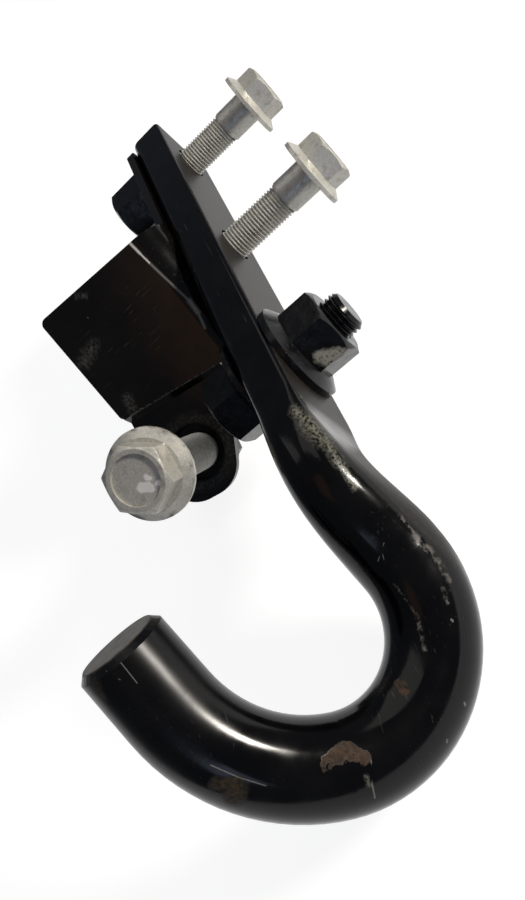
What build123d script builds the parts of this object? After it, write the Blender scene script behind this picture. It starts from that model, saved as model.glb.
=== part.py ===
from build123d import *
import os
from math import atan2, cos, radians, sin, tan

# Forged tow hook with a sheet-steel bracket on the back of its shank, held by flanged hardware.
# X runs along the shank from its free end to the hook, Y points out of the shank's front face,
# Z runs across its width. The origin is the first bolt's axis on the front face. Millimetres.

# Flat shank of the hook
shank_width = 32.4
shank_thickness = 14.5
shank_end_margin = 14.0
bolt_pitch = 61.0
stud_pitch = 63.5
flat_beyond_stud = 19.5
shank_front_radius = 1.6
shank_back_radius = 4.0
shank_end_chamfer = 0.8

# Round bar of the hook: set sideways from the shank, then curled in a rolled plane
bar_diameter = 25.6
set_reach = 29.0
set_angle = 33.8
curl_roll = 34.2
outward_angle = 4.4
neck_length = 26.8
throat_radius = 31.9
throat_turn = 119.9
mouth_radius = 46.0
mouth_turn = 58.3
tip_length = 20.5
tip_chamfer = 2.0

# Forged neck where the flat turns into the bar
neck_width = 28.5
neck_thickness = 20.0
neck_corner = 8.5
neck_run_out = 4.0
side_arc = 40.0

# Two bolts that hold the shank, and the larger one in the bracket's lug
bolt_diameter = 12.0
bolt_length = 50.0
bolt_hex = 17.0
bolt_flange = 26.0
bolt_head = 10.8
bolt_plain_neck = 11.4
first_bolt_rise = 31.4
lug_bolt_diameter = 14.0
lug_bolt_length = 60.0
lug_bolt_hex = 20.5
lug_bolt_flange = 30.0
lug_bolt_head = 12.4
lug_bolt_plain_neck = 8.0
lug_bolt_rise = 42.5
bolt_flange_rim = 1.5
bolt_neck_swell = 0.35
head_dish = 0.9
head_dish_share = 0.8
end_chamfer = 1.3

# Black bolt through the shank with its flange nut, and the two weld nuts
stud_diameter = 14.0
stud_hex = 22.0
stud_flange = 33.6
stud_head = 15.0
stud_end_rise = 22.2
flange_nut_height = 16.6
flange_nut_rim = 2.2
weld_nut_hex = 22.0
weld_nut_flange = 27.0
weld_nut_height = 17.3
lug_nut_hex = 22.0
lug_nut_flange = 29.0
lug_nut_height = 13.0
weld_nut_rim = 1.6
top_chamfer_share = 0.94
top_chamfer_angle = 30.0
flange_cone_angle = 30.0

# Sheet bracket: a leg behind the shank, a slanted bend, a panel and a joggled lug
sheet = 3.0
bend_radius = 11.0
bend_slant = 40.0
bend_start_x = 46.9
bend_start_z = 17.5
panel_length = 53.0
panel_short_side = 45.0
panel_reach = 44.3
panel_long_reach = 46.0
panel_flare = 2.5
panel_corner = 2.5
leg_top_margin = 11.0
leg_corner = 5.0
lug_root_rise = 25.0
lug_end_rise = 8.5
lug_drop = 17.0
lug_length = 40.0
lug_corner = 13.0
lug_from_bend = 27.2
lug_end_margin = 17.0
lug_hole = 21.0
joggle_depth = 4.0
joggle_slope = 65.0
joggle_overlap = 6.0

# Clearances, on the radius
bolt_clearance = 0.75
stud_clearance = 0.5
thread_clearance = 0.1

# Places that several pieces share
second_bolt_x = bolt_pitch
stud_x = bolt_pitch + stud_pitch
flat_end_x = stud_x + flat_beyond_stud
back_y = -shank_thickness
mid_y = back_y / 2
leg_back_y = back_y - sheet
second_bolt_rise = bolt_length - shank_thickness

os.makedirs("parts", exist_ok=True)


def flat_section(plane, thickness, width, front_radius, back_radius):
    """Rounded section across the shank; its local +X side is the front face."""
    with BuildSketch(plane) as section:
        Rectangle(thickness, width)
        fillet(section.vertices().group_by(Axis.X)[-1], front_radius)
        fillet(section.vertices().group_by(Axis.X)[0], back_radius)
    return section.sketch


def round_section(plane, diameter):
    """Round section in eight arcs, one for each side and corner of the flat's section."""
    arcs = []
    for quarter in range(4):
        side_start = 90 * quarter - side_arc / 2
        side_end = side_start + side_arc
        arcs.append(Edge.make_circle(diameter / 2, plane, side_start, side_end))
        arcs.append(Edge.make_circle(diameter / 2, plane, side_end, side_start + 90))
    return Face(Wire(arcs))


def across(centre, direction):
    """Plane across the bar at a point, with its local X kept near the shank's +Y."""
    sideways = Vector(0, 1, 0) - direction * direction.Y
    return Plane(origin=centre, x_dir=sideways, z_dir=direction)


def turning_plane(seat):
    """Plane through a seat's axis for a turned profile: local X is the radius, local Y the height."""
    return Plane(origin=seat.origin, x_dir=seat.x_dir, z_dir=-seat.y_dir)


def hex_corner(hex_size):
    """Radius over the corners of a hexagon of a given size across flats."""
    return hex_size / 2 / cos(radians(30))


def flanged_hexagon(seat, hex_size, flange, rim, height):
    """Hexagon with chamfered corners on a coned flange, standing on a seat along its normal."""
    corner = hex_corner(hex_size)
    top_radius = hex_size / 2 * top_chamfer_share
    corner_drop = (corner - top_radius) * tan(radians(top_chamfer_angle))
    cone_top = rim + (flange / 2 - corner) * tan(radians(flange_cone_angle))
    axis = Axis(seat.origin, seat.z_dir)
    with BuildPart() as head:
        with BuildSketch(seat):
            RegularPolygon(radius=corner, side_count=6)
        extrude(amount=height)
        with BuildSketch(turning_plane(seat)):
            with BuildLine():
                Polyline(
                    (0, 0),
                    (corner, 0),
                    (corner, height - corner_drop),
                    (top_radius, height),
                    (0, height),
                    close=True,
                )
            make_face()
        revolve(axis=axis, mode=Mode.INTERSECT)
        with BuildSketch(turning_plane(seat)):
            with BuildLine():
                Polyline(
                    (0, 0),
                    (flange / 2, 0),
                    (flange / 2, rim),
                    (corner, cone_top),
                    (0, cone_top),
                    close=True,
                )
            make_face()
        revolve(axis=axis)
    return head.part


def flanged_bolt(seat, diameter, length, hex_size, flange, head, plain_neck):
    """Flange bolt on a seat whose normal points to the head, with a dished top and a plain neck."""
    radius = diameter / 2
    neck_radius = radius + bolt_neck_swell
    with BuildPart() as bolt:
        add(flanged_hexagon(seat, hex_size, flange, bolt_flange_rim, head))
        with BuildSketch(seat.offset(head)):
            Circle(hex_size / 2 * head_dish_share)
        extrude(amount=-head_dish, mode=Mode.SUBTRACT)
        with BuildSketch(turning_plane(seat)):
            with BuildLine():
                Polyline(
                    (0, 0),
                    (neck_radius, 0),
                    (neck_radius, -plain_neck),
                    (radius, -plain_neck),
                    (radius, end_chamfer - length),
                    (radius - end_chamfer, -length),
                    (0, -length),
                    close=True,
                )
            make_face()
        revolve(axis=Axis(seat.origin, seat.z_dir))
    return bolt


def flanged_nut(seat, bore, hex_size, flange, height, rim):
    """Nut with a coned flange on a seat whose normal points away from the work."""
    with BuildPart() as nut:
        add(flanged_hexagon(seat, hex_size, flange, rim, height))
        with BuildSketch(seat):
            Circle(bore / 2)
        extrude(amount=height, mode=Mode.SUBTRACT)
    return nut


# Hook: one forging. The flat shank is extruded, the neck lofted, the curled bar swept.
pitch = radians(set_angle)
roll = radians(curl_roll)
curl_plane = Plane(
    origin=(flat_end_x + set_reach, mid_y, 0),
    x_dir=(cos(pitch), 0, -sin(pitch)),
    z_dir=(sin(pitch) * cos(roll), sin(roll), cos(pitch) * cos(roll)),
)

with BuildPart() as hook:
    shank_end = Plane(origin=(-shank_end_margin, mid_y, 0), x_dir=(0, 1, 0), z_dir=(1, 0, 0))
    flat_end = Plane(origin=(flat_end_x, mid_y, 0), x_dir=(0, 1, 0), z_dir=(1, 0, 0))
    shank_radii = (shank_front_radius, shank_back_radius)
    flat_shape = flat_section(shank_end, shank_thickness, shank_width, *shank_radii)
    extrude(flat_shape, amount=flat_end_x + shank_end_margin)

    with BuildLine(curl_plane) as centreline:
        neck = PolarLine((0, 0), neck_length, outward_angle)
        throat = JernArc(neck @ 1, neck % 1, throat_radius, -throat_turn)
        mouth = JernArc(throat @ 1, throat % 1, mouth_radius, -mouth_turn)
        tip = Line(mouth @ 1, (mouth @ 1) + (mouth % 1) * tip_length)
    bar_direction = neck % 1
    half_turned = (Vector(1, 0, 0) + bar_direction).normalized()

    bar_start = round_section(across(neck @ 1, bar_direction), bar_diameter)
    sweep(sections=bar_start, path=Wire([throat.edge(), mouth.edge(), tip.edge()]))

    flat_lead = flat_end.offset(neck_run_out)
    neck_bend = across(neck @ 0, half_turned)
    bar_lead = across(neck @ 1 - bar_direction * neck_run_out, bar_direction)
    loft(
        sections=[
            flat_section(flat_end, shank_thickness, shank_width, *shank_radii),
            flat_section(flat_lead, shank_thickness, shank_width, *shank_radii),
            flat_section(neck_bend, neck_thickness, neck_width, neck_corner, neck_corner),
            round_section(bar_lead, bar_diameter),
            bar_start,
        ]
    )
    with BuildSketch(Plane.XZ):
        with Locations((0, 0), (second_bolt_x, 0)):
            Circle(bolt_diameter / 2 + bolt_clearance)
        with Locations((stud_x, 0)):
            Circle(stud_diameter / 2 + stud_clearance)
    extrude(amount=shank_thickness, mode=Mode.SUBTRACT)
    tip_face = hook.faces().sort_by(lambda face: (face.center() - tip @ 1).length)[0]
    chamfer(tip_face.edges(), tip_chamfer)
    chamfer(hook.faces().sort_by(Axis.X)[0].edges(), shank_end_chamfer)

hook.part.label = "hook"
export_step(hook.part, "parts/hook.step")

# Bracket: one pressed sheet. Its bend runs slantwise, so the panel's normal leans along X and Z.
slant = radians(bend_slant)
bend_line = Vector(cos(slant), 0, -sin(slant))
panel_normal = Vector(sin(slant), 0, cos(slant))
bend_start = Vector(bend_start_x, back_y, bend_start_z)
leg_low_end = bend_start + bend_line * panel_length
panel_top = back_y - bend_radius
bend_plane = Plane(origin=bend_start, x_dir=-panel_normal, z_dir=bend_line)
panel_plane = Plane(
    origin=Vector(bend_start_x, 0, bend_start_z) + panel_normal * bend_radius,
    x_dir=bend_line,
    z_dir=panel_normal,
)

# The lug stands square to the panel's slanted edge, one joggle behind the panel's face. Its root
# takes up nearly the whole edge, and its upper side tapers towards the rounded end.
edge_lean = atan2(panel_length - panel_short_side, panel_reach)
edge_up = bend_line * sin(edge_lean) + Vector(0, cos(edge_lean), 0)
lug_out = bend_line * cos(edge_lean) - Vector(0, sin(edge_lean), 0)
lug_root = (
    panel_plane.origin
    + bend_line * panel_length
    + Vector(0, panel_top, 0)
    - edge_up * lug_from_bend
)
lug_face = lug_root - panel_normal * joggle_depth
lug_plane = Plane(origin=lug_face, x_dir=lug_out, z_dir=panel_normal)
lug_hole_reach = lug_length - lug_end_margin
lug_hole_centre = lug_face + lug_out * lug_hole_reach
joggle_plane = Plane(origin=lug_root + edge_up * lug_root_rise, x_dir=lug_out, z_dir=-edge_up)
joggle_run = joggle_depth / tan(radians(joggle_slope))
joggle_offset = sheet * tan(radians(joggle_slope / 2))

with BuildPart() as bracket:
    with BuildSketch(Plane.XZ.offset(shank_thickness)) as leg:
        with BuildLine():
            Polyline(
                (-leg_top_margin, bend_start_z),
                (bend_start_x, bend_start_z),
                (leg_low_end.X, leg_low_end.Z),
                (-leg_top_margin, leg_low_end.Z),
                close=True,
            )
        make_face()
        fillet(leg.vertices().group_by(Axis.X)[0], leg_corner)
        Circle(bolt_diameter / 2 + bolt_clearance, mode=Mode.SUBTRACT)
    extrude(amount=sheet)
    with BuildSketch(bend_plane):
        with BuildLine():
            outer = CenterArc((0, -bend_radius), bend_radius, 90, 90)
            inner = CenterArc((0, -bend_radius), bend_radius - sheet, 90, 90)
            Line(outer @ 0, inner @ 0)
            Line(outer @ 1, inner @ 1)
        make_face()
    extrude(amount=panel_length)
    with BuildSketch(panel_plane) as panel:
        with BuildLine():
            Polyline(
                (0, panel_top),
                (-panel_flare, panel_top - panel_long_reach),
                (panel_short_side, panel_top - panel_reach),
                (panel_length, panel_top),
                close=True,
            )
        make_face()
        fillet(panel.vertices().sort_by(Axis.Y)[:2], panel_corner)
    extrude(amount=-sheet)
    with BuildSketch(joggle_plane):
        with BuildLine():
            Polyline(
                (-joggle_overlap, 0),
                (0, 0),
                (joggle_run, -joggle_depth),
                (joggle_run, -joggle_depth - sheet),
                (joggle_run - joggle_offset, -joggle_depth - sheet),
                (-joggle_offset, -sheet),
                (-joggle_overlap, -sheet),
                close=True,
            )
        make_face()
    extrude(amount=lug_root_rise + lug_drop)
    with BuildSketch(lug_plane) as lug:
        with BuildLine():
            Polyline(
                (joggle_run, lug_root_rise),
                (lug_length, lug_end_rise),
                (lug_length, -lug_drop),
                (joggle_run, -lug_drop),
                close=True,
            )
        make_face()
        fillet(lug.vertices().group_by(Axis.X)[-1], lug_corner)
    extrude(amount=-sheet)
    with BuildSketch(lug_plane):
        with Locations((lug_hole_reach, 0)):
            Circle(lug_hole / 2)
    extrude(amount=-sheet, mode=Mode.SUBTRACT)

bracket.part.label = "bracket"
export_step(bracket.part, "parts/bracket.step")

# Weld nuts on the bracket's back, in line with the first bolt and with the lug's hole.
leg_nut_seat = Plane(origin=(0, leg_back_y, 0), x_dir=(1, 0, 0), z_dir=(0, -1, 0))
leg_nut = flanged_nut(
    leg_nut_seat,
    bolt_diameter + 2 * thread_clearance,
    weld_nut_hex,
    weld_nut_flange,
    weld_nut_height,
    weld_nut_rim,
)
leg_nut.part.label = "leg_nut"
export_step(leg_nut.part, "parts/leg_nut.step")

lug_nut_seat = Plane(origin=lug_hole_centre - panel_normal * sheet, x_dir=lug_out, z_dir=-panel_normal)
lug_nut = flanged_nut(
    lug_nut_seat,
    lug_bolt_diameter + 2 * thread_clearance,
    lug_nut_hex,
    lug_nut_flange,
    lug_nut_height,
    weld_nut_rim,
)
lug_nut.part.label = "lug_nut"
export_step(lug_nut.part, "parts/lug_nut.step")

# Black bolt from behind the shank, and the flange nut that clamps it in front.
stud_seat = Plane(origin=(stud_x, back_y, 0), x_dir=(1, 0, 0), z_dir=(0, -1, 0))
stud_bolt = flanged_bolt(
    stud_seat,
    stud_diameter,
    shank_thickness + stud_end_rise,
    stud_hex,
    stud_flange,
    stud_head,
    shank_thickness / 2,
)
stud_bolt.part.label = "stud_bolt"
export_step(stud_bolt.part, "parts/stud_bolt.step")

flange_nut_seat = Plane(origin=(stud_x, 0, 0), x_dir=(1, 0, 0), z_dir=(0, 1, 0))
flange_nut = flanged_nut(
    flange_nut_seat,
    stud_diameter + 2 * thread_clearance,
    stud_hex,
    stud_flange,
    flange_nut_height,
    flange_nut_rim,
)
flange_nut.part.label = "flange_nut"
export_step(flange_nut.part, "parts/flange_nut.step")

# Two bolts through the shank, the first started in its weld nut and the second resting on the leg.
upper_seat = Plane(origin=(0, first_bolt_rise, 0), x_dir=(1, 0, 0), z_dir=(0, 1, 0))
upper_bolt = flanged_bolt(
    upper_seat,
    bolt_diameter,
    bolt_length,
    bolt_hex,
    bolt_flange,
    bolt_head,
    bolt_plain_neck,
)
upper_bolt.part.label = "upper_bolt"
export_step(upper_bolt.part, "parts/upper_bolt.step")

lower_seat = Plane(origin=(second_bolt_x, second_bolt_rise, 0), x_dir=(1, 0, 0), z_dir=(0, 1, 0))
lower_bolt = flanged_bolt(
    lower_seat,
    bolt_diameter,
    bolt_length,
    bolt_hex,
    bolt_flange,
    bolt_head,
    bolt_plain_neck,
)
lower_bolt.part.label = "lower_bolt"
export_step(lower_bolt.part, "parts/lower_bolt.step")

# Larger bolt through the lug, started in the lug's weld nut.
lug_bolt_seat = Plane(
    origin=lug_hole_centre + panel_normal * lug_bolt_rise,
    x_dir=lug_out,
    z_dir=panel_normal,
)
lug_bolt = flanged_bolt(
    lug_bolt_seat,
    lug_bolt_diameter,
    lug_bolt_length,
    lug_bolt_hex,
    lug_bolt_flange,
    lug_bolt_head,
    lug_bolt_plain_neck,
)
lug_bolt.part.label = "lug_bolt"
export_step(lug_bolt.part, "parts/lug_bolt.step")
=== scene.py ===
import math

import bmesh
import bpy
from mathutils import Matrix, Vector


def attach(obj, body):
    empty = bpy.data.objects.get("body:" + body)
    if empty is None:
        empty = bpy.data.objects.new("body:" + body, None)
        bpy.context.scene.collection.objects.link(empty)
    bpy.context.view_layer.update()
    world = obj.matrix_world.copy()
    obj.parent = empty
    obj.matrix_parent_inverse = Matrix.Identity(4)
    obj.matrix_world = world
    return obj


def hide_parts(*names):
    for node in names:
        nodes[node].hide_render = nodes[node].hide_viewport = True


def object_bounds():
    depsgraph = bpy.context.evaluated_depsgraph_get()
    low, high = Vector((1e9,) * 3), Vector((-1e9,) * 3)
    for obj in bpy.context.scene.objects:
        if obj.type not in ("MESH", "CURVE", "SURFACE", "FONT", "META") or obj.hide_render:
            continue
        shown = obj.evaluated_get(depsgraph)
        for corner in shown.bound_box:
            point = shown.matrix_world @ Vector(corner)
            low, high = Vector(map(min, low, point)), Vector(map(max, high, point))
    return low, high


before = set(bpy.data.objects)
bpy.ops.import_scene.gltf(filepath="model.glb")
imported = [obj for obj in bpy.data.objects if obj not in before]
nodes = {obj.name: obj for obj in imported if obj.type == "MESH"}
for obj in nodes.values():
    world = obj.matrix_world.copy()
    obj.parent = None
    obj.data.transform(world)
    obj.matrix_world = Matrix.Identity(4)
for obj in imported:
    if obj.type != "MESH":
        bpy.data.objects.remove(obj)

cad_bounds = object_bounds()


# Hook: a steel forging whose flat shank turns into a curled round bar, dipped in black gloss
# enamel. Stones have chipped the enamel to rust, straps have rubbed it grey, and its front is dusty.
millimetre = 0.001
merge_gap = 0.002 * millimetre


def to_linear(hex_colour):
    """Linear RGBA of an sRGB hex colour."""
    channels = [int(hex_colour[i:i + 2], 16) / 255 for i in (1, 3, 5)]
    linear = [c / 12.92 if c <= 0.04045 else ((c + 0.055) / 1.055) ** 2.4 for c in channels]
    return (*linear, 1.0)


def add_node(tree, kind, output, sockets, **settings):
    """Adds a shader node with its settings, fills or links its sockets, and returns one output."""
    node = tree.nodes.new("ShaderNode" + kind)
    for name, value in settings.items():
        setattr(node, name, value)
    for key, value in sockets.items():
        if isinstance(value, bpy.types.NodeSocket):
            tree.links.new(value, node.inputs[key])
        else:
            node.inputs[key].default_value = value
    return node.outputs[output]


def start_material(name, metallic, specular, record_slot=""):
    """A new material with its constants set: (material, tree, shader, object coordinates)."""
    material = bpy.data.materials.new(name)
    material["record_slot"] = record_slot
    material.use_nodes = True
    tree = material.node_tree
    shader = tree.nodes["Principled BSDF"]
    shader.inputs["Metallic"].default_value = metallic
    shader.inputs["Specular IOR Level"].default_value = specular
    return material, tree, shader, add_node(tree, "TexCoord", "Object", {})


def mottle(tree, coordinates, grain_mm, low, high, detail=3.0):
    """Mask of cloudy patches about grain_mm across: 0 where the noise is under low, 1 over high."""
    scale = 1 / (grain_mm * millimetre)
    cloud = add_node(tree, "TexNoise", "Fac", {"Vector": coordinates, "Scale": scale, "Detail": detail})
    return add_node(tree, "MapRange", 0, {"Value": cloud, "From Min": low, "From Max": high})


def patchy(tree, mask, coordinates, grain_mm, low, high, detail=3.0):
    """A mask broken up by mottle, so that it is left only in cloudy patches."""
    patches = mottle(tree, coordinates, grain_mm, low, high, detail)
    return add_node(tree, "Math", 0, {0: mask, 1: patches}, operation="MULTIPLY")


def ragged(tree, coordinates, grain_mm, reach_mm):
    """Coordinates pushed about by noise, so that a mark drawn on them has a ragged edge."""
    scale = 1 / (grain_mm * millimetre)
    cloud = add_node(tree, "TexNoise", "Color", {"Vector": coordinates, "Scale": scale, "Detail": 4.0})
    middle = (0.5, 0.5, 0.5)
    swing = add_node(tree, "VectorMath", 0, {0: cloud, 1: middle}, operation="SUBTRACT")
    push = add_node(tree, "VectorMath", 0, {0: swing, "Scale": 2 * reach_mm * millimetre}, operation="SCALE")
    return add_node(tree, "VectorMath", 0, {0: coordinates, 1: push}, operation="ADD")


def marks(tree, coordinates, strokes, soft):
    """Mask of round-ended strokes, each (start, end, radius) in mm; soft is the edge's share of it."""
    mask = 0.0
    for start_mm, end_mm, radius_mm in strokes:
        start = Vector(start_mm) * millimetre
        along = Vector(end_mm) * millimetre - start
        radius = radius_mm * millimetre
        offset = add_node(tree, "VectorMath", 0, {0: coordinates, 1: start}, operation="SUBTRACT")
        share = add_node(tree, "VectorMath", "Value", {0: offset, 1: along}, operation="DOT_PRODUCT")
        share = add_node(tree, "MapRange", 0, {"Value": share, "From Max": max(along.length_squared, 1e-12)})
        foot = add_node(tree, "VectorMath", 0, {0: along, "Scale": share}, operation="SCALE")
        away = add_node(tree, "VectorMath", "Value", {0: offset, 1: foot}, operation="DISTANCE")
        limits = {"From Min": radius * (1 + soft), "From Max": radius * (1 - soft)}
        stroke = add_node(tree, "MapRange", 0, {"Value": away, **limits})
        mask = add_node(tree, "Math", 0, {0: mask, 1: stroke}, operation="MAXIMUM")
    return mask


def overlay(tree, below, coats, data_type="RGBA"):
    """Lays coats over a colour, or over a number, in turn: each is (mask, strength, coat)."""
    first, second, result = (6, 7, 2) if data_type == "RGBA" else (2, 3, 0)
    for mask, strength, coat in coats:
        share = add_node(tree, "Math", 0, {0: mask, 1: strength}, operation="MULTIPLY")
        below = add_node(tree, "Mix", result, {0: share, first: below, second: coat}, data_type=data_type)
    return below


def finish_material(tree, shader, colour, roughness, height, depth_mm, strength):
    """Links a material's colour and roughness to its shader, and its relief as a bump."""
    tree.links.new(colour, shader.inputs["Base Color"])
    tree.links.new(roughness, shader.inputs["Roughness"])
    sockets = {"Strength": strength, "Distance": depth_mm * millimetre, "Height": height}
    tree.links.new(add_node(tree, "Bump", 0, sockets), shader.inputs["Normal"])


# Dipped enamel runs out smooth: a deep black gloss with a slow waviness from the forged skin below.
hook_enamel, tree, shader, coordinates = start_material("dipped_black_enamel", 0.0, 0.22, "hook_paint")
flaked = ragged(tree, coordinates, 2.2, 1.6)
frayed = ragged(tree, coordinates, 0.9, 0.7)
rust = marks(tree, flaked, [
    ((238.1, -40.1, 1.7), (237.2, -37.6, -0.2), 1.4),
    ((237.2, -37.6, -0.2), (236.4, -35.4, -1.9), 2.0),
    ((236.4, -35.4, -1.9), (239.0, -33.2, -4.6), 1.8),
    ((225.4, -20.0, -11.9), (228.6, -19.2, -11.9), 1.1),
], 0.2)
rust = patchy(tree, rust, coordinates, 1.8, 0.34, 0.4, 5.0)
mud = marks(tree, flaked, [
    ((234.4, -60.5, 17.2), (236.0, -56.6, 14.6), 1.6),
    ((236.4, -57.5, 14.0), (237.8, -60.5, 12.6), 2.2),
    ((207.5, -69.7, 39.7), (209.0, -70.2, 38.2), 1.4),
], 0.6)
rub = marks(tree, frayed, [
    ((158.0, -2.3, 17.0), (163.6, -0.7, 15.6), 1.4),
    ((163.6, -0.7, 15.6), (169.2, 0.2, 13.6), 2.4),
    ((169.2, 0.2, 13.6), (177.2, 0.4, 10.7), 1.5),
    ((177.2, 0.4, 10.7), (184.0, -0.6, 7.4), 0.8),
], 0.8)
rub = patchy(tree, rub, coordinates, 0.8, 0.36, 0.66, 6.0)
chips = marks(tree, frayed, [
    ((191.5, 3.8, -3.0), (197.2, 3.6, -6.9), 0.35),
    ((197.2, 3.6, -6.9), (202.5, 4.2, -11.3), 0.8),
    ((202.5, 4.2, -11.3), (208.9, 3.4, -14.8), 0.7),
    ((210.4, 1.3, -13.5), (213.9, 0.2, -14.9), 0.35),
    ((204.8, -7.8, -7.5), (213.5, -7.6, -11.4), 0.25),
    ((213.5, -7.6, -11.4), (221.5, -10.4, -13.4), 0.4),
    ((242.6, -35.0, -5.9), (244.4, -36.0, -7.0), 0.5),
], 0.8)
chips = patchy(tree, chips, coordinates, 1.6, 0.4, 0.58, 5.0)
scratches = marks(tree, coordinates, [
    ((199.1, -7.4, -3.4), (196.8, -3.2, -1.8), 0.12),
    ((200.6, -6.4, -4.2), (198.4, -5.2, -2.9), 0.1),
    ((240.2, -32.3, -5.9), (244.6, -35.4, -7.7), 0.15),
    ((244.6, -35.4, -7.7), (246.6, -37.3, -10.3), 0.22),
    ((231.2, -58.2, 20.1), (235.0, -55.3, 15.3), 0.15),
    ((235.0, -55.3, 15.3), (238.4, -51.9, 10.4), 0.12),
    ((205.8, -60.9, 40.2), (211.6, -60.5, 36.0), 0.12),
    ((207.2, -63.8, 39.8), (210.8, -64.8, 37.5), 0.15),
    ((205.6, -65.6, 40.9), (209.6, -63.2, 38.4), 0.1),
    ((234.3, -10.8, -22.8), (234.7, -10.9, -23.3), 0.35),
    ((240.4, -18.4, -21.0), (240.7, -18.8, -21.3), 0.3),
    ((217.6, -1.4, -16.0), (217.9, -1.4, -16.3), 0.3),
], 0.4)
pits = add_node(tree, "TexVoronoi", "Distance", {"Vector": frayed, "Scale": 1 / (15 * millimetre)})
pits = add_node(tree, "MapRange", 0, {"Value": pits, "From Min": 0.032, "From Max": 0.02})
drag_turn, drag_stretch = (0.5, 0.3, 0.7), (1, 12, 12)
drag = {"Vector": coordinates, "Rotation": drag_turn, "Scale": drag_stretch}
scuffs = mottle(tree, add_node(tree, "Mapping", 0, drag), 9.0, 0.64, 0.74, 5.0)
scuffs = patchy(tree, scuffs, coordinates, 34.0, 0.52, 0.66)

# Road dust lies dull on the flat front face and on the facet that runs from it along the bar.
dust_start, dust_rise = 150 * millimetre, 0.115
along_bar = add_node(tree, "SeparateXYZ", "X", {0: coordinates})
outward = add_node(tree, "SeparateXYZ", "Y", {0: coordinates})
rise = add_node(tree, "Math", 0, {0: along_bar, 1: dust_start}, operation="MAXIMUM")
rise = add_node(tree, "Math", 0, {0: rise, 1: dust_rise}, operation="MULTIPLY")
clear = add_node(tree, "Math", 0, {0: outward, 1: rise}, operation="SUBTRACT")
brink = -dust_start * dust_rise
dust_limits = {"From Min": brink - 0.5 * millimetre, "From Max": brink - 0.1 * millimetre}
dust = add_node(tree, "MapRange", 0, {"Value": clear, **dust_limits})
fade_limits = {"From Min": 206 * millimetre, "From Max": 198 * millimetre}
fade = add_node(tree, "MapRange", 0, {"Value": along_bar, **fade_limits})
dust = add_node(tree, "Math", 0, {0: dust, 1: fade}, operation="MULTIPLY")

# The bar was sawn off a little askew before dipping, and its end has worn to a grey-brown film.
tip_end_mm = (196.25, -66.49, 32.88)
tip_reach_mm, end_rings_mm = 15.0, 3.0
tip_end = Vector(tip_end_mm) * millimetre
tip_direction = Vector((-0.792, -0.089, 0.603))
askew_side = Vector((0.472, 0.539, 0.698))
askew = math.tan(math.radians(12.5))
beyond = add_node(tree, "VectorMath", 0, {0: coordinates, 1: tip_end}, operation="SUBTRACT")
sawn_normal = tip_direction + askew_side * askew
beyond = add_node(tree, "VectorMath", "Value", {0: beyond, 1: sawn_normal}, operation="DOT_PRODUCT")
sawn_limits = {"From Min": -0.4 * millimetre, "From Max": -0.1 * millimetre}
sawn = add_node(tree, "MapRange", 0, {"Value": beyond, **sawn_limits})
tip = marks(tree, coordinates, [(tip_end_mm, tip_end_mm, tip_reach_mm)], 0.02)
sawn = add_node(tree, "Math", 0, {0: sawn, 1: tip}, operation="MULTIPLY")

# Straps hooked on over the tip have dulled its last stretch of bar.
tip_scuff_end = (212.5, -64.7, 20.5)
tip_scuff = marks(tree, flaked, [(tip_end_mm, tip_scuff_end, 16.0)], 0.35)
rust_tone = overlay(tree, to_linear("#433428"), [
    (mottle(tree, coordinates, 1.3, 0.35, 0.65), 1.0, to_linear("#2b221a")),
])
colour = overlay(tree, to_linear("#050506"), [
    (mottle(tree, coordinates, 14.0, 0.4, 0.7), 1.0, to_linear("#0a0a0b")),
    (dust, mottle(tree, coordinates, 1.2, 0.2, 0.8), to_linear("#262320")),
    (sawn, mottle(tree, coordinates, 3.0, 0.1, 0.7), to_linear("#5a5650")),
    (scuffs, 0.2, to_linear("#77756f")),
    (mud, mottle(tree, coordinates, 1.0, 0.3, 0.6), to_linear("#3a2f20")),
    (rub, 0.75, to_linear("#77776a")),
    (chips, 0.7, to_linear("#64625c")),
    (scratches, 0.45, to_linear("#8f8e88")),
    (pits, 0.7, to_linear("#8a877f")),
    (rust, 1.0, rust_tone),
])
worn = add_node(tree, "Math", 0, {0: rub, 1: chips}, operation="MAXIMUM")
roughness = overlay(tree, 0.09, [
    (mottle(tree, coordinates, 7.0, 0.3, 0.75), 1.0, 0.19),
    (tip_scuff, 1.0, 0.34),
    (dust, 1.0, 0.45),
    (sawn, 1.0, 0.55),
    (worn, 0.8, 0.5),
    (mud, 1.0, 0.6),
    (rust, 1.0, 0.8),
], "FLOAT")
skin = mottle(tree, coordinates, 16.0, 0.0, 1.0, 2.0)
rust_depth = add_node(tree, "Math", 0, {0: rust, 1: 0.04}, operation="MULTIPLY")
height = add_node(tree, "Math", 0, {0: skin, 1: rust_depth}, operation="SUBTRACT")
finish_material(tree, shader, colour, roughness, height, 1.0, 0.12)


def finish_mesh(form, name, material, crease_degrees):
    """Turns a bmesh into an object of the part, smooth except at creases."""
    bmesh.ops.recalc_face_normals(form, faces=form.faces)
    mesh = bpy.data.meshes.new(name)
    form.to_mesh(mesh)
    form.free()
    mesh.materials.append(material)
    mesh.shade_smooth()
    mesh.set_sharp_from_angle(angle=math.radians(crease_degrees))
    piece = bpy.data.objects.new(name, mesh)
    bpy.context.scene.collection.objects.link(piece)
    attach(piece, "root")
    return piece


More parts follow.
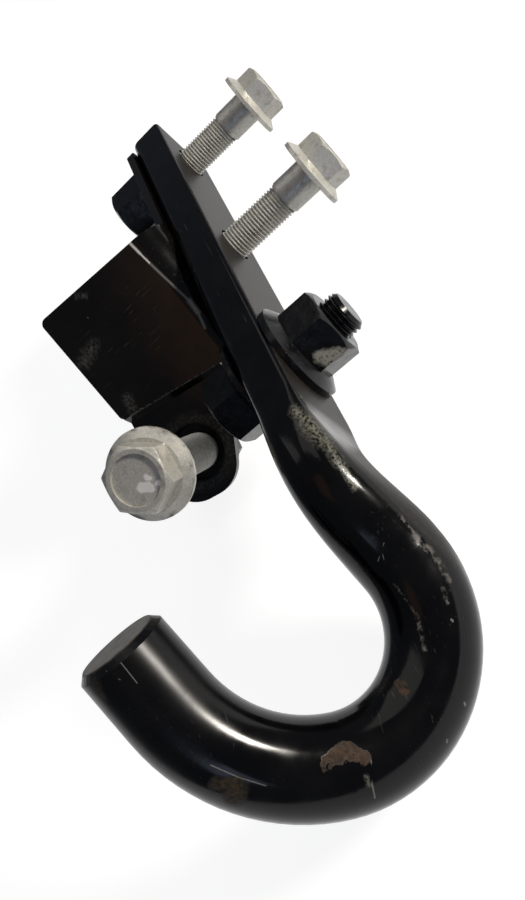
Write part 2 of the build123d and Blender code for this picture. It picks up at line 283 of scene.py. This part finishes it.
# The hook's copy keeps the CAD's own shading, and only the rings of its sawn end are sheared askew.
form = bmesh.new()
form.from_mesh(nodes["hook"].data)
shade = form.loops.layers.float_vector.new("shade")
corner_normals = iter(nodes["hook"].data.corner_normals)
for face in form.faces:
    for loop in face.loops:
        loop[shade] = next(corner_normals).vector
bmesh.ops.remove_doubles(form, verts=form.verts, dist=merge_gap)
end_rings = set()
for vertex in form.verts:
    offset = vertex.co - tip_end
    beside_end = offset.length < tip_reach_mm * millimetre
    if beside_end and offset.dot(tip_direction) > -end_rings_mm * millimetre:
        end_rings.add(vertex)
for vertex in end_rings:
    vertex.co -= tip_direction * askew * (vertex.co - tip_end).dot(askew_side)
for face in form.faces:
    if end_rings.issuperset(face.verts):
        face.normal_update()
        for loop in face.loops:
            loop[shade] = face.normal
forging = finish_mesh(form, "hook_forging", hook_enamel, 30)
kept_shading = forging.data.attributes["shade"].data
forging.data.normals_split_custom_set([entry.vector for entry in kept_shading])
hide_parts("hook")


# Bracket: pressed steel sheet, bent once and joggled, welded up with its nuts and sprayed black. The
# shears left its edges slightly rounded, a painted highlight runs down the bend's crest, and the lug is
# scuffed.
def soft_edged(name, material, source, bevel_mm, cut_at=None, cut_towards=None):
    """Copy of a CAD node with its edges softened, and cut off at a plane if one is given."""
    form = bmesh.new()
    form.from_mesh(nodes[source].data)
    bmesh.ops.remove_doubles(form, verts=form.verts, dist=merge_gap)
    if cut_at:
        geom = form.verts[:] + form.edges[:] + form.faces[:]
        bmesh.ops.bisect_plane(form, geom=geom, plane_co=cut_at, plane_no=cut_towards, clear_inner=True)
    piece = finish_mesh(form, name, material, 25)
    soften = piece.modifiers.new("soft_edges", "BEVEL")
    soften.width = bevel_mm * millimetre
    soften.segments = 2
    soften.limit_method = "ANGLE"
    soften.angle_limit = math.radians(28)
    piece.modifiers.new("flat_faces", "WEIGHTED_NORMAL").keep_sharp = True
    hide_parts(source)


# Sprayed enamel is as glossy as the hook's, a little warmer, with fine handling scratches.
bracket_enamel, tree, shader, coordinates = start_material("sprayed_black_enamel", 0.0, 0.3, "bracket_paint")
frayed = ragged(tree, coordinates, 1.2, 0.9)
smudge = marks(tree, ragged(tree, coordinates, 3.0, 2.0), [
    ((67.4, -60.8, 14.6), (68.9, -67.2, 13.4), 2.0),
    ((84.3, -62.6, 0.5), (88.4, -64.5, -3.0), 1.4),
    ((54.2, -53.4, 25.8), (55.6, -50.6, 24.6), 0.9),
], 0.9)
smudge = patchy(tree, smudge, coordinates, 1.1, 0.34, 0.66, 6.0)
# Painted highlight: a bright stroke down the top of the bend, where a lamp shows in the gloss, then a
# fainter one further down.
painted_crest_highlight = marks(tree, coordinates, [
    ((54.1, -25.6, 25.6), (58.0, -25.1, 22.4), 0.36),
    ((58.0, -25.1, 22.4), (61.5, -24.6, 19.5), 0.26),
], 0.9)
# Painted highlight: a pale line along the panel's lower edge, standing in for the light that edge catches.
painted_edge_highlight = marks(tree, frayed, [((94.3, -28.0, -7.9), (88.8, -67.0, -3.3), 0.22)], 0.9)
faint_painted_crest_highlight = marks(tree, coordinates, [
    ((61.5, -24.6, 19.5), (75.9, -22.2, 6.6), 0.35),
    ((75.9, -22.2, 6.6), (80.0, -22.4, 3.3), 0.7),
    ((80.0, -22.4, 3.3), (84.6, -23.8, 0.0), 0.4),
], 0.8)
lug_centre = Vector((105.64, -56.35, -22.65)) * millimetre
away = add_node(tree, "VectorMath", "Value", {0: frayed, 1: lug_centre}, operation="DISTANCE")
inner_limits = {"From Min": 10.2 * millimetre, "From Max": 11.4 * millimetre}
outer_limits = {"From Min": 15.6 * millimetre, "From Max": 13.2 * millimetre}
inner = add_node(tree, "MapRange", 0, {"Value": away, **inner_limits})
outer = add_node(tree, "MapRange", 0, {"Value": away, **outer_limits})
ring = add_node(tree, "Math", 0, {0: inner, 1: outer}, operation="MULTIPLY")
ring = patchy(tree, ring, coordinates, 1.2, 0.3, 0.75, 6.0)
pits = add_node(tree, "TexVoronoi", "Distance", {"Vector": frayed, "Scale": 1 / (10 * millimetre)})
pits = add_node(tree, "MapRange", 0, {"Value": pits, "From Min": 0.04, "From Max": 0.025})
drag_turn, drag_stretch = (0.2, 0.7, 0.4), (12, 1, 12)
drag = {"Vector": coordinates, "Rotation": drag_turn, "Scale": drag_stretch}
scuffs = mottle(tree, add_node(tree, "Mapping", 0, drag), 9.0, 0.62, 0.74, 5.0)
scuffs = patchy(tree, scuffs, coordinates, 26.0, 0.5, 0.66)
colour = overlay(tree, to_linear("#070605"), [
    (mottle(tree, coordinates, 20.0, 0.35, 0.7), 1.0, to_linear("#0d0b09")),
    (scuffs, 0.16, to_linear("#8a877f")),
    (ring, 0.5, to_linear("#55534d")),
    (smudge, 0.6, to_linear("#50504e")),
    (pits, 0.5, to_linear("#8d8a80")),
    # Painted highlight along the panel's lower edge.
    (painted_edge_highlight, 0.6, to_linear("#77756e")),
    # Painted highlight along the bend's crest, bright at the top and faint below.
    (faint_painted_crest_highlight, 0.6, to_linear("#8a8a86")),
    (painted_crest_highlight, 0.9, to_linear("#dcdcd8")),
])
roughness = overlay(tree, 0.09, [
    (mottle(tree, coordinates, 8.0, 0.3, 0.75), 1.0, 0.18),
    (smudge, 1.0, 0.45),
    (ring, 1.0, 0.4),
    (painted_crest_highlight, 1.0, 0.35),
], "FLOAT")
ripple = mottle(tree, coordinates, 12.0, 0.0, 1.0, 2.0)
finish_material(tree, shader, colour, roughness, ripple, 0.6, 0.08)
soft_edged("bracket_sheet", bracket_enamel, "bracket", 0.45)


# Weld nuts, black bolt and flange nut: cold-headed steel with a black phosphate and oil finish, a
# softer sheen than the enamel. A spanner has rubbed one facet of the flange nut to pale bare metal.
phosphate, tree, shader, coordinates = start_material("black_phosphate_steel", 0.0, 0.2, "nut_black")
spanner_rub = marks(tree, ragged(tree, coordinates, 2.0, 1.4), [
    ((136.2, 8.0, 3.2), (137.4, 12.2, 0.2), 2.4),
], 0.3)
spanner_rub = patchy(tree, spanner_rub, coordinates, 0.8, 0.25, 0.5, 5.0)
dents = mottle(tree, coordinates, 4.0, 0.4, 0.7)
colour = overlay(tree, to_linear("#070709"), [
    (dents, 1.0, to_linear("#0d0e10")),
    (mottle(tree, coordinates, 1.0, 0.66, 0.74), 0.3, to_linear("#4a4844")),
    (spanner_rub, 0.9, to_linear("#8f8d84")),
])
roughness = overlay(tree, 0.16, [
    (mottle(tree, coordinates, 3.0, 0.3, 0.7), 1.0, 0.3),
    (spanner_rub, 1.0, 0.55),
], "FLOAT")
finish_material(tree, shader, colour, roughness, dents, 0.3, 0.15)
for name, source in (
    ("leg_weld_nut", "leg_nut"),
    ("lug_weld_nut", "lug_nut"),
    ("clamp_nut", "flange_nut"),
):
    soft_edged(name, phosphate, source, 0.5)


# Black bolt's thread and head: the thread is rolled into the bar, so it is a ridge turned up a helix
# round a core, and the head is upset from the same bar.
def flat_end(node, direction):
    """Centre of a CAD node's flat end furthest along a direction."""
    corners = [vertex.co.copy() for vertex in node.data.vertices]
    furthest = max(corner.dot(direction) for corner in corners)
    rim = [corner for corner in corners if corner.dot(direction) > furthest - 0.02 * millimetre]
    low = Vector([min(corner[i] for corner in rim) for i in range(3)])
    high = Vector([max(corner[i] for corner in rim) for i in range(3)])
    return (low + high) / 2


def rolled_thread(name, material, tip, towards_head, radius_mm, pitch_mm, length_mm):
    """Helical thread round a core with a chamfered end, from a tip towards the head."""
    steps = 28
    chamfer_mm = 1.3
    depth_mm = 0.58 * pitch_mm
    root_mm = radius_mm - depth_mm
    turns = math.ceil(length_mm / pitch_mm) + 2
    profile = ((0.0, 0.0), (depth_mm, 0.38), (depth_mm, 0.56), (0.0, 0.94), (0.0, 1.0))
    form = bmesh.new()
    ridge = [
        form.verts.new(((root_mm + rise) * millimetre, 0, (share - 1) * pitch_mm * millimetre))
        for rise, share in profile
    ]
    edges = [form.edges.new(pair) for pair in zip(ridge, ridge[1:])]
    bmesh.ops.spin(
        form, geom=ridge + edges, cent=(0, 0, 0), axis=(0, 0, 1), angle=math.tau * turns,
        dvec=(0, 0, pitch_mm * millimetre / steps), steps=steps * turns,
    )
    bmesh.ops.remove_doubles(form, verts=form.verts, dist=0.01 * millimetre)
    for height_mm, side in ((chamfer_mm, -1), (length_mm, 1)):
        geom = form.verts[:] + form.edges[:] + form.faces[:]
        plane = {"plane_co": (0, 0, height_mm * millimetre), "plane_no": (0, 0, side)}
        bmesh.ops.bisect_plane(form, geom=geom, clear_outer=True, **plane)
    for low_mm, high_mm, from_mm, to_mm in (
        (root_mm, root_mm, 0.7 * chamfer_mm, length_mm),
        (radius_mm - chamfer_mm, radius_mm - 0.3 * depth_mm, 0.0, chamfer_mm),
    ):
        core = bmesh.ops.create_cone(
            form, cap_ends=True, segments=48, radius1=low_mm * millimetre,
            radius2=high_mm * millimetre, depth=(to_mm - from_mm) * millimetre,
        )
        middle = (0, 0, (from_mm + to_mm) / 2 * millimetre)
        bmesh.ops.translate(form, verts=core["verts"], vec=middle)
    place = Matrix.Translation(tip) @ towards_head.to_track_quat("Z", "X").to_matrix().to_4x4()
    bmesh.ops.transform(form, matrix=place, verts=form.verts)
    finish_mesh(form, name, material, 40)


def threaded_bolt(source, material, axis, radius_mm, pitch_mm, thread_mm, bevel_mm):
    """A bolt in two pieces: its rolled thread, and its head and neck; together they stand for it."""
    tip = flat_end(nodes[source], -axis)
    rolled_thread(source + "_thread", material, tip, axis, radius_mm, pitch_mm, thread_mm)
    neck_end = tip + axis * thread_mm * millimetre
    soft_edged(source + "_head", material, source, bevel_mm, neck_end, axis)


threaded_bolt("stud_bolt", phosphate, Vector((0, -1, 0)), 7.0, 1.5, 24.0, 0.4)

# Silver bolts: flange bolts with a zinc-flake coat baked on, a pale matt grey with a fine sparkle.
# The larger flange is darker in patches along its rim, and its head has a white spot where the coat is bare.
# The coat's flakes are too fine to show, so the sparkle is drawn coarser, at half a millimetre.
zinc_flake, tree, shader, coordinates = start_material("zinc_flake_steel", 0.5, 0.5, "bolt_grey")
lug_seat, lug_top = (132.95, -56.35, 9.91), (140.92, -56.35, 19.41)
chipped = ragged(tree, coordinates, 1.8, 1.2)
white_spot = marks(tree, chipped, [
    ((142.4, -56.4, 17.0), (143.8, -54.4, 15.9), 1.6),
    ((141.6, -52.9, 17.7), (141.9, -52.7, 17.4), 1.0),
    ((144.0, -51.6, 15.7), (144.2, -51.2, 15.5), 0.8),
], 0.2)
# A band round the larger flange's rim, drawn darker in patches.
rim = add_node(tree, "Math", 0, {
    0: marks(tree, coordinates, [(lug_seat, lug_top, 16.5)], 0.02),
    1: marks(tree, chipped, [(lug_seat, lug_top, 13.9)], 0.05),
}, operation="SUBTRACT")
dark_rim_patches = patchy(tree, rim, coordinates, 4.0, 0.46, 0.6, 5.0)
grime = mottle(tree, coordinates, 3.0, 0.54, 0.74, 6.0)
sparkle = mottle(tree, coordinates, 0.5, 0.3, 0.7)
colour = overlay(tree, to_linear("#aaa8a0"), [
    (sparkle, 1.0, to_linear("#c8c6be")),
    (grime, 0.45, to_linear("#5f5a50")),
    (dark_rim_patches, 0.75, to_linear("#3d382f")),
    (white_spot, 1.0, to_linear("#f2f1ec")),
])
roughness = overlay(tree, 0.34, [
    (mottle(tree, coordinates, 1.5, 0.3, 0.7), 1.0, 0.5),
    (dark_rim_patches, 1.0, 0.7),
], "FLOAT")
finish_material(tree, shader, colour, roughness, sparkle, 0.2, 0.12)
panel_slant = math.radians(40)
lug_axis = Vector((math.sin(panel_slant), 0, math.cos(panel_slant)))
for source, axis, radius_mm, pitch_mm, thread_mm in (
    ("upper_bolt", Vector((0, 1, 0)), 6.0, 1.25, 38.0),
    ("lower_bolt", Vector((0, 1, 0)), 6.0, 1.25, 38.0),
    ("lug_bolt", lug_axis, 7.0, 1.5, 51.5),
):
    threaded_bolt(source, zinc_flake, axis, radius_mm, pitch_mm, thread_mm, 0.35)

# Floor: a plain sheet of white card under the part. It looks white to the camera and to the gloss
# of the paint, and still takes the part's soft shadow.
form = bmesh.new()
bmesh.ops.create_grid(form, x_segments=1, y_segments=1, size=4.0)
bmesh.ops.translate(form, verts=form.verts, vec=(0, 0, cad_bounds[0].z - 1.0 * millimetre))
mesh = bpy.data.meshes.new("floor")
form.to_mesh(mesh)
form.free()
floor = bpy.data.objects.new("floor", mesh)
bpy.context.scene.collection.objects.link(floor)
card, tree, shader, coordinates = start_material("white_card", 0.0, 0.2)
shader.inputs["Roughness"].default_value = 0.9
shader.inputs["Base Color"].default_value = to_linear("#949494")
shader.inputs["Emission Color"].default_value = (1, 1, 1, 1)
seen = 0.0
for ray in ("Is Camera Ray", "Is Glossy Ray", "Is Transmission Ray"):
    kind = add_node(tree, "LightPath", ray, {})
    seen = add_node(tree, "Math", 0, {0: seen, 1: kind}, operation="MAXIMUM")
glow = add_node(tree, "Math", 0, {0: seen, 1: 0.86}, operation="MULTIPLY")
tree.links.new(glow, shader.inputs["Emission Strength"])
floor.data.materials.append(card)


# Light: a compact softbox on the front face's side draws the long highlights along the bar, a cool
# window and a dim warm ceiling show in the gloss, and a soft overhead fills the rest.
def softbox(name, direction, distance, width, depth, watts, hex_colour):
    """Rectangular lamp at a distance from the hook's throat, in a direction, aimed at it."""
    throat = Vector((0.19, -0.03, 0.0))
    lamp = bpy.data.lights.new(name, "AREA")
    lamp.shape = "RECTANGLE"
    lamp.size = width
    lamp.size_y = depth
    lamp.energy = watts
    lamp.color = to_linear(hex_colour)[:3]
    stand = bpy.data.objects.new(name, lamp)
    bpy.context.scene.collection.objects.link(stand)
    toward = Vector(direction).normalized()
    stand.location = throat + toward * distance
    stand.rotation_euler = (-toward).to_track_quat("-Z", "Y").to_euler()


softbox("key", (0.08, 0.92, 0.38), 0.9, 0.16, 0.12, 9.0, "#fff8ee")
softbox("window", (0.85, -0.05, 0.52), 1.2, 0.5, 0.25, 0.8, "#c4d4f4")
softbox("ceiling", (0.36, -0.15, 0.92), 1.2, 0.4, 0.4, 0.3, "#c89058")
softbox("overhead", (-0.45, 0.2, 0.87), 1.2, 1.0, 1.0, 3.0, "#fffaf2")
world = bpy.data.worlds.new("room")
bpy.context.scene.world = world
world.use_nodes = True
background = world.node_tree.nodes["Background"]
background.inputs["Color"].default_value = to_linear("#99a0ad")
background.inputs["Strength"].default_value = 0.35

# Camera: a phone-like lens close to the hook, above its curl, rolled so that the shank runs up and
# to the left.
camera_data = bpy.data.cameras.new("camera")
camera_data.sensor_fit = "VERTICAL"
camera_data.sensor_height = 36.0
camera_data.lens = 34.165
camera_data.clip_start = 0.01
camera = bpy.data.objects.new("camera", camera_data)
bpy.context.scene.collection.objects.link(camera)
right = Vector((0.30995, 0.73378, -0.60456))
down = Vector((0.69402, -0.60923, -0.38363))
turn = Matrix((right, -down, down.cross(right))).transposed().to_4x4()
camera.matrix_world = Matrix.Translation((0.3125, 0.0541, 0.1784)) @ turn
bpy.context.scene.camera = camera
bpy.context.scene.view_settings.view_transform = "Standard"
